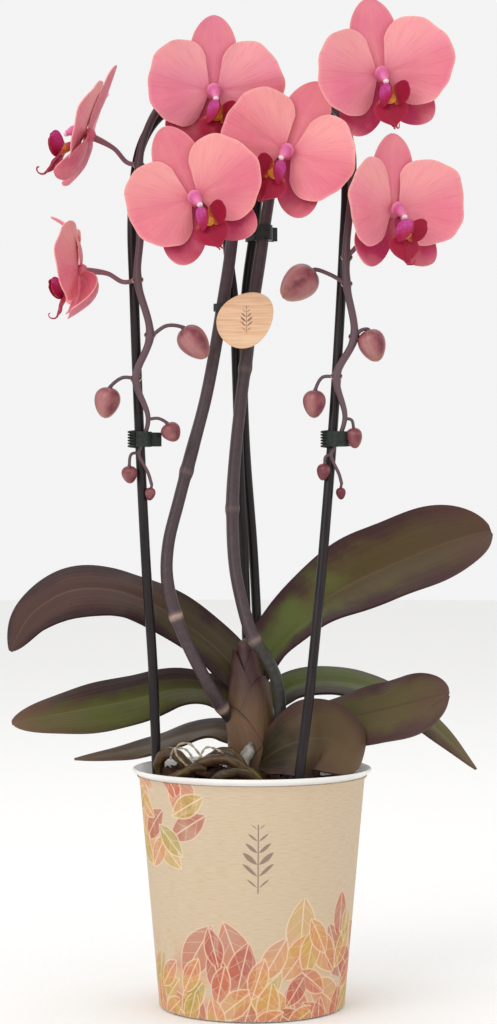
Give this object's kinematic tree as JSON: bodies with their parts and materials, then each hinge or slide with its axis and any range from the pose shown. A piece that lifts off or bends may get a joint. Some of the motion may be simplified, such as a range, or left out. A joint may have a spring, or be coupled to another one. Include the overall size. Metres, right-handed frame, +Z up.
{
  "type": "potted moth orchid",
  "caption": "Flowering moth orchid with arching spikes of coral blooms and buds trained over wire hoops, strappy leaves and bark, in a tapered pot with a patterned sleeve.",
  "frame": {"origin": "centre of the flat underside of the decorative pot, on the surface it stands on", "axes": "+Z up along the plant's height; -Y is the front, the side most blooms face; +X is to the right seen from the front"},
  "size_m": [0.2649, 0.1317, 0.5313],
  "materials": {
    "pot_white": "smooth white, satin",
    "sleeve_card": "kraft card with a soft print, matt",
    "grow_pot_clear": "milky thin plastic",
    "bark_chips": "rough damp bark",
    "root_skin": "waxy living root, green to silver",
    "crown_sheath": "living leaf sheaths, satin",
    "leaf_skin": "living leaf, waxy, olive with purple margins",
    "hoop_wire": "dark brown plastic-coated wire, satin",
    "spike_skin": "living flower stem and buds, satin",
    "petal_coral": "living petal, soft and slightly translucent",
    "column_pink": "living flower column, waxy",
    "lip_crimson": "living lip, waxy",
    "clip_plastic": "dark plastic, satin",
    "tag_veneer": "thin copper-toned veneer, satin"
  },
  "bodies": {
    "root": {"decorative_pot": "pot_white", "printed_sleeve": "sleeve_card", "grow_pot": "grow_pot_clear", "bark": "bark_chips", "roots": "root_skin", "crown": "crown_sheath", "leaf_upper_left": "leaf_skin", "leaf_upper_right": "leaf_skin", "leaf_middle_left": "leaf_skin", "leaf_lower_left": "leaf_skin", "leaf_back_right": "leaf_skin", "leaf_lower_right": "leaf_skin", "leaf_front_right": "leaf_skin", "hoop_left": "hoop_wire", "hoop_right": "hoop_wire", "spike_left": "spike_skin", "spike_right": "spike_skin", "bloom_1_tepals": "petal_coral", "bloom_2_tepals": "petal_coral", "bloom_3_tepals": "petal_coral", "bloom_4_tepals": "petal_coral", "bloom_5_tepals": "petal_coral", "bloom_6_tepals": "petal_coral", "bloom_7_tepals": "petal_coral", "bloom_1_column": "column_pink", "bloom_2_column": "column_pink", "bloom_3_column": "column_pink", "bloom_4_column": "column_pink", "bloom_5_column": "column_pink", "bloom_6_column": "column_pink", "bloom_7_column": "column_pink", "bloom_1_lip": "lip_crimson", "bloom_2_lip": "lip_crimson", "bloom_3_lip": "lip_crimson", "bloom_4_lip": "lip_crimson", "bloom_5_lip": "lip_crimson", "bloom_6_lip": "lip_crimson", "bloom_7_lip": "lip_crimson", "clip_left": "clip_plastic", "clip_right": "clip_plastic", "clip_top": "clip_plastic", "name_tag": "tag_veneer", "tag_holder": "clip_plastic"}
  },
  "joints": []
}
